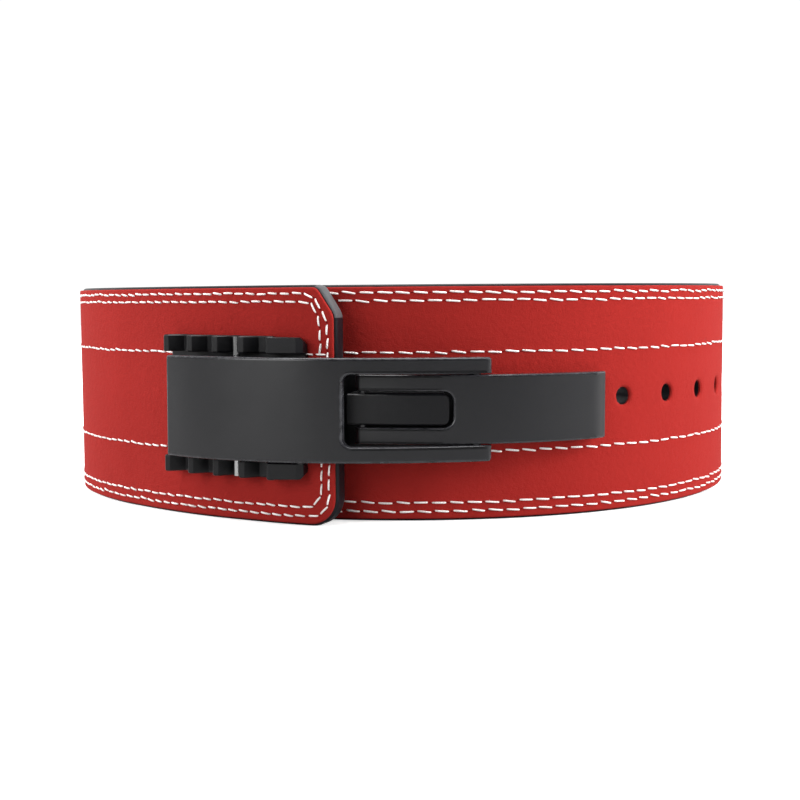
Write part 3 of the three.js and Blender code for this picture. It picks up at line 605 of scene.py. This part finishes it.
core_middles = core_plan[core_quads].mean(1)
core_flat = core_rim[core_quads].mean(1) > 0.99
core_finish[(core_zones == 1) & core_flat & (core_middles > cut_from).all(1)] = 2
strip = make_piece(
    "leather_strip", core_points, core_quads, [black_ink, black_lining, corner_grey_ink], "belt",
    core_plan, core_rim, core_finish,
)
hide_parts("belt_core")

# Suede face
# A skin of red suede 1.6 mm thick, cut 1 mm short of the leather all round, with a soft rounded
# edge. The punched holes draw its rim down a little.
SKIN_INSET = 0.0010
SKIN_EDGE = 0.00072

red_suede = napped("red_suede", (0.262, 0.0160, 0.0132), 0.16, 0.10, 0.00035, 0.92, 0.02)
skin_hole_edge = [
    (0.0066, 0, 0), (0.0052, 0, 0.00010), (0.0045, 0, 0.00035), (HOLE_RADIUS, 0, 0.0009),
    (HOLE_RADIUS, 1, 0), (HOLE_SURROUND, 1, 0),
]
skin_points, skin_quads, skin_plan, skin_rim, _ = slab(
    moved_in(strip_loop, SKIN_INSET),
    strip_u,
    strip_rows,
    rounded_edge(SKIN_EDGE),
    between_depths(0.0, SKIN_THICKNESS),
    hole_places,
    skin_hole_edge,
)
suede = make_piece(
    "red_suede_skin", skin_points, skin_quads, [red_suede], "belt", skin_plan, skin_rim
)
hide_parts("suede_face")

# Stitching
# Thick white thread sewn right through the strip: a double row round its edge, which cuts the
# corners at the tip, and two single rows along it. Each stitch lies a little aslant and dips
# into its needle holes, and the same rows show on the lining.
THREAD_RADIUS = 0.00041
THREAD_TWIST = 5200.0
NEAR_STITCH = 0.0076
FAR_STITCH = 0.0058
FAR_FROM = 0.35
FAR_OVER = 0.35
STITCH_SHARE = 0.83
SHARE_SPREAD = 0.035
STITCH_STRAY = 0.00014
SLANT = (-5.0, 2.6)
THREAD_SIDES = 6
FINE_STEP = 0.0004
ROUND_CUT = 0.0012
NEEDLE_LENGTH = 0.0011
# Double row: inset from the top, the bottom and the ends, then the cut corner's run and foot, and
# the ease of the rounded corners. Single rows: height. They start and stop at ROW_ENDS.
EDGE_ROWS = (
    (0.0034, 0.0043, 0.0035, (0.0068, 0.0848), 0.0085),
    (0.0068, 0.0080, 0.0068, (0.0047, 0.0864), 0.0070),
)
SINGLE_ROWS = (0.0715, 0.0294)
ROW_ENDS = (0.0068, 0.0035)


def row_points(corners, steps=9):
    """A sewn row through corners (run, height, ease), rounded off by its ease at each corner."""
    corners = [np.array(c, float) for c in corners]
    parts = [corners[0][None, :2]]
    for before, here, after in zip(corners[:-2], corners[1:-1], corners[2:]):
        ease = here[2]
        back = (before[:2] - here[:2]) / np.linalg.norm(before[:2] - here[:2])
        on = (after[:2] - here[:2]) / np.linalg.norm(after[:2] - here[:2])
        parts.append(bend(here[:2] + ease * back, here[:2], here[:2] + ease * on, steps))
    parts.append(corners[-1][None, :2])
    return np.concatenate(parts)


def edge_row(top, bottom, ends, cut, corner):
    """A row round the whole strip at insets from its edges, from the inner end's middle."""
    low, high = bottom, BELT_HEIGHT - top
    stop = strip_length - ends
    return row_points([
        (ends, 0.5 * BELT_HEIGHT, 0),
        (ends, low, corner),
        (stop, low, corner),
        (stop, cut[1], ROUND_CUT),
        (stop - cut[0], high, ROUND_CUT),
        (ends, high, corner),
        (ends, 0.5 * BELT_HEIGHT, 0),
    ])


row_start, row_stop = ROW_ENDS[0], strip_length - ROW_ENDS[1]
sewn_rows = [edge_row(*row) for row in EDGE_ROWS]
sewn_rows += [np.array([(row_start, height), (row_stop, height)]) for height in SINGLE_ROWS]


def stitch_places(row, rng):
    """Middles, directions and lengths of a row's stitches. The needle's step grows from the far
    stitch to the near one along the strip, and the stitches are counted off at that step."""
    legs = np.linalg.norm(np.diff(row, axis=0), axis=1)
    gone = np.concatenate([[0], np.cumsum(legs)])
    at = np.linspace(0, gone[-1], max(2, int(legs.sum() / FINE_STEP)))
    fine = np.stack([np.interp(at, gone, row[:, k]) for k in (0, 1)], -1)
    far = np.clip((fine[:, 0] / strip_length - FAR_FROM) / FAR_OVER, 0, 1)
    step = NEAR_STITCH + (FAR_STITCH - NEAR_STITCH) * far
    number = np.concatenate([[0], np.cumsum(np.diff(at) / step[1:])])
    count = int(number[-1])
    number *= count / number[-1]
    first, last = (np.interp(np.arange(count) + k, number, at) for k in (0.0, 1.0))
    ends = [np.stack([np.interp(x, at, fine[:, k]) for k in (0, 1)], -1) for x in (first, last)]
    middle = (ends[0] + ends[1]) / 2 + rng.normal(0, STITCH_STRAY, (count, 2))
    chord = ends[1] - ends[0]
    heading = np.arctan2(chord[:, 1], chord[:, 0])
    length = np.linalg.norm(chord, axis=1) * (STITCH_SHARE + rng.normal(0, SHARE_SPREAD, count))
    return middle, heading, length, ends[0]


def sewn(middle, heading, length, depth, outward, profile, lifts, radii, sides):
    """Small bodies lying along a surface: rings of points round each one's own axis, whose radius
    and lift off the surface change from end to end. A ring's point is radius times the cosine
    beside the axis and radius times the sine above it."""
    stretch = profile[None, :, None] * length[:, None, None] / 2
    a = np.linspace(0, 2 * math.pi, sides, endpoint=False)[None, None, :]
    beside = radii[None, :, None] * np.cos(a)
    above = lifts[None, :, None] + radii[None, :, None] * np.sin(a) + 0 * stretch
    cos, sin = np.cos(heading)[:, None, None], np.sin(heading)[:, None, None]
    plan = np.stack([
        middle[:, 0, None, None] + stretch * cos - beside * sin,
        middle[:, 1, None, None] + stretch * sin + beside * cos,
    ], -1)
    points = strip_point(plan, depth - outward * above)
    count, rows = len(middle), len(profile)
    index = np.arange(count * rows * sides).reshape(count, rows, sides)
    beyond = np.roll(index, -1, 2)
    sides_of = [index[:, :-1], index[:, 1:], beyond[:, 1:], beyond[:, :-1]]
    quads = np.stack(sides_of, -1).reshape(-1, 4)
    half = sides // 2
    caps = []
    for row in (0, -1):
        for k in range(half - 1):
            ends = (k, k + 1, sides - 2 - k, sides - 1 - k)
            corners = [index[:, row, end] for end in ends]
            caps.append(np.stack(corners if row == 0 else corners[::-1], -1))
    quads = np.concatenate([quads] + caps)
    if outward < 0:
        quads = quads[:, ::-1]
    lengthwise = np.broadcast_to(stretch + 0 * a, (count, rows, sides))
    roundwise = np.broadcast_to(a / (2 * math.pi) + 0 * stretch, (count, rows, sides))
    return points.reshape(-1, 3), quads, np.stack([lengthwise, roundwise], -1).reshape(-1, 2)


def thread_values(tree):
    """White waxed thread of two plies: slanting ridges along each stitch, slightly soiled."""
    uv = shader_node(tree, "ShaderNodeUVMap", uv_map="UVMap").outputs[0]
    place = shader_node(tree, "ShaderNodeSeparateXYZ", {0: uv}).outputs
    turned = maths(tree, "MULTIPLY", place[0], THREAD_TWIST)
    ridges = maths(tree, "SINE", maths(tree, "MULTIPLY_ADD", place[1], 2 * math.pi, turned))
    clean, soiled = (0.93, 0.91, 0.89), (0.72, 0.64, 0.62)
    return {
        "Base Color": toned(tree, noise(tree, 160.0, 3.0), soiled, clean, (0.30, 0.62)),
        "Roughness": 0.6,
        "Normal": bumped(tree, ridges, 0.00012, 0.7),
    }


white_thread = finish_of("white_thread", thread_values)
needle_painted_shade = napped("needle_painted_shade", (0.075, 0.006, 0.006), 0.3, 0.2, 0.0002, 0.95, 0.0)
rng = np.random.default_rng(11)
placed = [stitch_places(row, rng) for row in sewn_rows]
stitch_middle, stitch_heading, stitch_length, needle_at = (
    np.concatenate([place[k] for place in placed]) for k in range(4)
)
slant = np.radians(rng.normal(*SLANT, len(stitch_heading)))
thread_profile = np.array([-1.0, -0.86, -0.5, 0.0, 0.5, 0.86, 1.0])
thread_lifts = np.array([-0.00035, 0.00012, 0.00034, 0.00038, 0.00034, 0.00012, -0.00035])
thread_radii = THREAD_RADIUS * np.array([0.45, 0.85, 1.0, 1.0, 1.0, 0.85, 0.45])
for name, depth, outward in (("outer_stitches", 0.0, 1), ("lining_stitches", BELT_THICKNESS, -1)):
    points, quads, plan = sewn(
        stitch_middle, stitch_heading + slant, stitch_length, depth, outward,
        thread_profile, thread_lifts, thread_radii, THREAD_SIDES,
    )
    stitches = make_piece(name, points, quads, [white_thread], "belt", plan, sharp=80)

# Dark red marks at the needle holes: painted shade of the holes, not holes cut into the suede.
slit_profile = np.array([-1.0, -0.6, 0.6, 1.0])
slit_lifts = np.array([-0.00030, -0.00024, -0.00024, -0.00030])
slit_radii = np.array([0.0001, 0.00034, 0.00034, 0.0001])
points, quads, plan = sewn(
    needle_at, np.zeros(len(needle_at)), np.full(len(needle_at), NEEDLE_LENGTH), 0.0, 1,
    slit_profile, slit_lifts, slit_radii, THREAD_SIDES,
)
slits = make_piece("needle_hole_shade", points, quads, [needle_painted_shade], "belt", plan, sharp=80)

# Coated steel of the buckle
# Pressed and cast steel under a thin satin black coat. Along the rounded edges it is glossier and
# lighter in patches: partly wear where it has been handled, partly painted sheen where the edges
# catch the light. The rack and the block keep their shape from the frame.
coat_group = shared_group(
    "satin_coat",
    (("Coat", (0.02, 0.02, 0.022, 1)), ("WornAndSheen", (0.10, 0.10, 0.11, 1)), ("Roughness", 0.4)),
    ("Colour", "Roughness", "Height"),
)
coat_in = shader_node(coat_group, "NodeGroupInput").outputs
coat_grain = noise(coat_group, 1400.0, 2.0)
coat_cloud = noise(coat_group, 45.0, 5.0, 0.6)
coat_scuff = noise(coat_group, 300.0, 4.0, 0.7)
coat_rim = shader_node(coat_group, "ShaderNodeAttribute", attribute_name="rim").outputs["Fac"]
# Lighter colour along the rims: partly handling wear, partly painted sheen of the edges.
rim_wear_and_sheen = maths(coat_group, "MULTIPLY", coat_rim, coat_scuff)
rim_mask = mapped(coat_group, rim_wear_and_sheen, (0.30, 0.75), (0.0, 0.55))
mix_links = {0: rim_mask, 6: coat_in["Coat"], 7: coat_in["WornAndSheen"]}
coat_mix = shader_node(coat_group, "ShaderNodeMix", mix_links, data_type="RGBA").outputs[2]
rough_span = mapped(coat_group, coat_cloud, (0.3, 0.7), (-0.04, 0.05))
rough_face = maths(coat_group, "ADD", coat_in["Roughness"], rough_span)
rough_sum = maths(coat_group, "MULTIPLY_ADD", coat_rim, -0.13, rough_face)
coat_out = {"Colour": coat_mix, "Roughness": rough_sum, "Height": coat_grain}
shader_node(coat_group, "NodeGroupOutput", coat_out)


def coated(name, coat, worn_and_sheen, roughness, metallic, grain, shine=0.5, eased=0.0):
    """A satin coat on steel, with its grain as a bump of that depth. shine is its specular level,
    and eased the radius to which sharp edges are shaded round."""

    def values(tree):
        settings = {"Coat": (*coat, 1), "WornAndSheen": (*worn_and_sheen, 1), "Roughness": roughness}
        made = shader_node(tree, "ShaderNodeGroup", settings, node_tree=coat_group).outputs
        normal = None
        if eased:
            normal = shader_node(tree, "ShaderNodeBevel", {"Radius": eased}, samples=6).outputs[0]
        return {
            "Base Color": made["Colour"],
            "Roughness": made["Roughness"],
            "Metallic": metallic,
            "Normal": bumped(tree, made["Height"], grain, 0.5, normal),
            "Specular IOR Level": shine,
        }

    return finish_of(name, values)


black_coat = coated("black_coat", (0.0050, 0.0050, 0.0064), (0.09, 0.09, 0.10), 0.34, 0.0, 0.00003)
cast_coat = coated(
    "cast_coat", (0.0035, 0.0035, 0.0045), (0.05, 0.05, 0.06), 0.36, 0.0, 0.00005, 0.3, 0.0004
)
bright_steel = coated("bright_steel", (0.42, 0.42, 0.42), (0.5, 0.5, 0.5), 0.12, 1.0, 0.000005)
# The hinge pins are bright steel; this near-black colour is painted shade of the narrow gaps they
# sit in.
pin_steel_painted_shade = coated("pin_steel_painted_shade", (0.02, 0.02, 0.023), (0.05, 0.05, 0.05), 0.16, 0.0, 0.000005)
screws = ["anchor_screw_1", "anchor_screw_2", *(f"rack_screw_{k}" for k in (1, 2, 3, 4))]
for material, nodes in (
    (cast_coat, ["toothed_rack", "anchor_block"]),
    (black_coat, screws),
    (bright_steel, ["crossbar"]),
    (pin_steel_painted_shade, ["anchor_pin", "fork_pin"]),
):
    for node in nodes:
        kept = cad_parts[node]
        kept.data.materials.clear()
        kept.data.materials.append(material)

# Lever handle
# A steel plate 6 mm thick, bowed to the waist. Two arms at its left reach round the anchor block
# to the hinge pin, and its right end is ground off to lift with a finger.
BUCKLE_HEIGHT = 0.0487
BUCKLE_TILT = math.radians(0.45)
HANDLE_PLATE = 0.006
ANCHOR_PIN_AT = -0.0199
LEVER_ARM = 0.0435
GRIP_LENGTH = 0.052
HANDLE_CROWN = 0.0169
GRIP_RISE = 0.0114
GRIP_BEVEL = (0.007, 0.0038)
SLOT_HALF = 0.00755
SLOT_END = 0.01471
SLOT_CORNER = 0.0043
HANDLE_HALF = SLOT_HALF + 0.00675
HANDLE_BOW = (
    np.array([0, 0.208, 0.445, 0.62, 0.795, 1]), np.array([0.72, 0.91, 1, 0.91, 0.55, 0]),
)
HANDLE_EDGE = 0.0008
PLATE_MARGIN = 0.0004
# How much longer an arc is at the hinge pin than along the belt's front.
PIN_STRETCH = 1.077
THINNEST = 0.003
ARM_START_LENGTH = 0.003
ARM_GAP = 0.00002
BEVEL_EASE = 0.0006
GRIP_CORNER = 0.0009
FORK_RUNGS = 26


def buckle_point(run, height, rise):
    """A point of the buckle: turned by its run about the loop's axis, at a rise off the belt's
    front, and then with the whole buckle hung half a degree lower at its right."""
    angle = run / front_reach
    x = (front_reach + rise) * np.sin(angle)
    y = -(front_reach + rise) * np.cos(angle)
    cos, sin = math.cos(BUCKLE_TILT), math.sin(BUCKLE_TILT)
    turned_x, turned_z = x * cos + height * sin, height * cos - x * sin
    return np.stack([turned_x + loop_middle[0], y + loop_middle[1], turned_z + BUCKLE_HEIGHT], -1)


handle_length = LEVER_ARM + GRIP_LENGTH
handle_end = ANCHOR_PIN_AT + handle_length


def handle_rise(run):
    """Rise of the handle's outer face over its bowed part, a share of the way up to its crown."""
    at = np.clip((run - ANCHOR_PIN_AT) / handle_length, 0, 1)
    return GRIP_RISE + (HANDLE_CROWN - GRIP_RISE) * through_rows(at, *HANDLE_BOW)


def handle_place(plan, share, shift):
    """The handle's outer and inner face: the bowed plate, ground off over the grip's end, and a
    half round about the hinge pin at the arms' ends."""
    run = plan[:, 0]
    beyond = np.clip((run - handle_end) / GRIP_BEVEL[0], 0, 1)
    outer = handle_rise(run) - GRIP_BEVEL[1] * beyond
    inner = handle_rise(run) - HANDLE_PLATE
    short = np.clip((ANCHOR_PIN_AT - run) * PIN_STRETCH / (HANDLE_PLATE / 2), 0, 0.995)
    half = HANDLE_PLATE / 2 * (1 - np.sqrt(1 - short**2))
    outer, inner = outer - half, inner + half
    thin = np.clip((outer - inner) / THINNEST, 0, 1)
    return buckle_point(run, plan[:, 1], outer + (inner - outer) * share - shift * thin)


def corner_arc(centre, radius, start, stop, steps):
    """Points on a circle's arc between two angles in degrees."""
    a = np.radians(np.linspace(start, stop, steps))
    return np.array(centre) + radius * np.stack([np.cos(a), np.sin(a)], -1)


def line(start, stop, steps):
    """Evenly spaced points from start up to, but not with, stop."""
    return np.linspace(start, stop, steps, endpoint=False)


def fork_outline(outer, inner, rungs):
    """A closed outline whose bottom side is the path round the outside, whose top side is the path
    round the opening, and whose other sides are the ends of the two arms."""
    left = np.linspace(outer[0], inner[0], rungs)
    right = np.linspace(outer[-1], inner[-1], rungs)
    return closed_loop(outer, right, inner, left)


def mirrored_path(path, last):
    """A path that ends above or below the buckle's middle line, then the point on it, and back."""
    return np.concatenate([path, [last], path[::-1] * (1, -1)])


def fork_plate(outside, opening, edge, place):
    """A plate with two arms, from the path round its outside and the path round its opening."""
    return slab(
        fork_outline(outside, opening, FORK_RUNGS),
        np.linspace(0, 1, len(outside)),
        np.linspace(0, 1, FORK_RUNGS),
        rounded_edge(edge, 4, PLATE_MARGIN),
        place,
    )


arm_start = ANCHOR_PIN_AT - HANDLE_PLATE / 2 / PIN_STRETCH + ARM_GAP
arm_full = arm_start + ARM_START_LENGTH
slot_turn = SLOT_END - SLOT_CORNER
bevel_start, bevel_stop = handle_end - BEVEL_EASE, handle_end + BEVEL_EASE
grip_end = handle_end + GRIP_BEVEL[0]
grip_turn = grip_end - GRIP_CORNER
outside = np.concatenate([
    line((arm_start, -HANDLE_HALF), (arm_full, -HANDLE_HALF), 6),
    line((arm_full, -HANDLE_HALF), (slot_turn, -HANDLE_HALF), 14),
    line((slot_turn, -HANDLE_HALF), (bevel_start, -HANDLE_HALF), 30),
    line((bevel_start, -HANDLE_HALF), (bevel_stop, -HANDLE_HALF), 4),
    line((bevel_stop, -HANDLE_HALF), (grip_turn, -HANDLE_HALF), 5),
    corner_arc((grip_turn, -HANDLE_HALF + GRIP_CORNER), GRIP_CORNER, -90, 0, 5)[:-1],
    line((grip_end, -HANDLE_HALF + GRIP_CORNER), (grip_end, 0), 12),
])
opening = np.concatenate([
    line((arm_start, -SLOT_HALF), (arm_full, -SLOT_HALF), 6),
    line((arm_full, -SLOT_HALF), (slot_turn, -SLOT_HALF), 14),
    corner_arc((slot_turn, -SLOT_HALF + SLOT_CORNER), SLOT_CORNER, -90, 0, 31)[:-1],
    line((SLOT_END, -SLOT_HALF + SLOT_CORNER), (SLOT_END, 0), 25),
])
handle_points, handle_quads, handle_plan, handle_rim, _ = fork_plate(
    mirrored_path(outside, (grip_end, 0)),
    mirrored_path(opening, (SLOT_END, 0)),
    HANDLE_EDGE,
    handle_place,
)
handle = make_piece(
    "handle_plate", handle_points, handle_quads, [black_coat], "lever", handle_plan, handle_rim
)
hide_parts("lever_handle")

# Fork link
# A broad bowed plate whose two arms straddle the handle and turn on its second pin. At its left
# end two lugs behind the plate hold the crossbar that hooks into the rack.
LINK_PLATE = 0.0055
LINK_REACH = 0.121
LINK_OVERHANG = 0.0058
LINK_CROWN_GAP = 0.0037
LINK_BOW = (
    np.array([0, 0.104, 0.213, 0.432, 0.585, 0.76, 0.891, 1]),
    np.array([0.714, 0.905, 1, 1, 0.762, 0.429, 0.19, 0]),
)
FORK_HALF = HANDLE_HALF + 0.00045
LINK_HALF = FORK_HALF + 0.0067
FORK_END = -0.02541
FORK_CORNER = 0.0032
ARM_ROUND = (0.0024, 0.0016)
ARM_CORNER = 0.0014
LINK_CORNER = 0.0011
LINK_EDGE = 0.0010
BOSS_RADIUS = 0.0034
BOSS_HALF = 0.0029
LUG_RADIUS = 0.0031
LUG_WIDTH = 0.004
LUG_INSET = 0.003
BODY_EDGE = 0.0003

fork_pin_at = ANCHOR_PIN_AT + LEVER_ARM
fork_pin_rise = float(handle_rise(np.array(fork_pin_at))) - HANDLE_PLATE / 2
link_end = fork_pin_at + LINK_OVERHANG
link_start = fork_pin_at - LINK_REACH
link_crown = float(belt_reach(LOOP_TURNS[-1:])[0]) - front_reach + LINK_CROWN_GAP + LINK_PLATE
link_foot = fork_pin_rise + HANDLE_PLATE / 2


def link_rise(run):
    """Rise of the link's outer face, a share of the way from its arms' ends up to its crown."""
    at = np.clip((run - link_start) / (link_end - link_start), 0, 1)
    return link_foot + (link_crown - link_foot) * through_rows(at, *LINK_BOW)


def link_place(plan, share, shift):
    """The link's outer face, which rounds down over the arms' ends, and, a plate's thickness under
    it, its inner face."""
    over = np.clip((plan[:, 0] - link_end + ARM_ROUND[0]) / ARM_ROUND[0], 0, 1)
    down = ARM_ROUND[1] * over**2
    rise = link_rise(plan[:, 0]) - down + (down - LINK_PLATE) * share - shift
    return buckle_point(plan[:, 0], plan[:, 1], rise)


arm_corner = link_end - ARM_CORNER
arm_round = link_end - ARM_ROUND[0]
fork_turn = FORK_END + FORK_CORNER
link_turn = link_start + LINK_CORNER
outside = np.concatenate([
    corner_arc((arm_corner, LINK_HALF - ARM_CORNER), ARM_CORNER, 0, 90, 7)[:-1],
    line((arm_corner, LINK_HALF), (arm_round, LINK_HALF), 3),
    line((arm_round, LINK_HALF), (fork_turn, LINK_HALF), 25),
    line((fork_turn, LINK_HALF), (link_turn, LINK_HALF), 32),
    corner_arc((link_turn, LINK_HALF - LINK_CORNER), LINK_CORNER, 90, 180, 5)[:-1],
    line((link_start, LINK_HALF - LINK_CORNER), (link_start, 0), 18),
])
opening = np.concatenate([
    line((link_end, FORK_HALF), (arm_round, FORK_HALF), 9),
    line((arm_round, FORK_HALF), (fork_turn, FORK_HALF), 25),
    corner_arc((fork_turn, FORK_HALF - FORK_CORNER), FORK_CORNER, 90, 180, 29)[:-1],
    line((FORK_END, FORK_HALF - FORK_CORNER), (FORK_END, 0), 26),
])
link_points, link_quads, _, link_rim, _ = fork_plate(
    mirrored_path(outside, (link_start, 0)),
    mirrored_path(opening, (FORK_END, 0)),
    LINK_EDGE,
    link_place,
)


def standing_body(outline, bottom, top, edge):
    """An outline of runs and rises, standing between two heights, with rounded edges. Its two end
    faces are single polygons."""
    steps = np.linspace(0, math.pi / 2, 4)
    rows = [(edge * (1 - math.sin(a)), bottom + edge * (1 - math.cos(a))) for a in steps]
    rows += [(inset, top - (height - bottom)) for inset, height in rows[::-1]]
    flat = np.concatenate([
        np.column_stack([moved_in(outline, inset), np.full(len(outline), height)])
        for inset, height in rows
    ])
    count = len(outline)
    rings = np.arange(len(flat)).reshape(-1, count)
    quads = ring_quads(rings)[:, ::-1].tolist()
    caps = [rings[0][::-1].tolist(), rings[-1].tolist()]
    return buckle_point(flat[:, 0], flat[:, 2], flat[:, 1]), quads + caps


boss_squeeze = front_reach / (front_reach + fork_pin_rise)
boss_outline = corner_arc((fork_pin_at, fork_pin_rise), BOSS_RADIUS, 0, 360, 33)[:-1]
boss_outline[:, 0] = fork_pin_at + (boss_outline[:, 0] - fork_pin_at) * boss_squeeze
arm_middle = (FORK_HALF + LINK_HALF) / 2
extra_bodies = [
    standing_body(boss_outline, at - BOSS_HALF, at + BOSS_HALF, BODY_EDGE)
    for at in (arm_middle, -arm_middle)
]
crossbar_low, crossbar_high = (np.array(corner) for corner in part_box("crossbar"))
crossbar_xy = (crossbar_low + crossbar_high)[:2] / 2 - loop_middle
crossbar_angle = math.atan2(crossbar_xy[0], -crossbar_xy[1])
crossbar_run = crossbar_angle * front_reach
crossbar_rise = float(np.linalg.norm(crossbar_xy)) - front_reach
squeeze = front_reach / (front_reach + crossbar_rise)
lug_round = corner_arc((0, crossbar_rise), LUG_RADIUS, 180, 360, 15)
lug_root = float(link_rise(np.array(crossbar_run))) - LINK_PLATE / 2
lug_outline = np.concatenate([lug_round, [[LUG_RADIUS, lug_root], [-LUG_RADIUS, lug_root]]])
lug_outline[:, 0] = crossbar_run + lug_outline[:, 0] * squeeze
for low in (-LINK_HALF + LUG_INSET, LINK_HALF - LUG_INSET - LUG_WIDTH):
    extra_bodies.append(standing_body(lug_outline, low, low + LUG_WIDTH, BODY_EDGE))
link_faces, count = link_quads.tolist(), len(link_points)
for points, faces in extra_bodies:
    link_faces += [[count + k for k in face] for face in faces]
    count += len(points)
link = make_piece(
    "fork_plate",
    np.concatenate([link_points] + [points for points, _ in extra_bodies]),
    link_faces,
    [black_coat],
    "link",
    rim=np.concatenate([link_rim, np.zeros(count - len(link_rim))]),
)
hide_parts("fork_link")
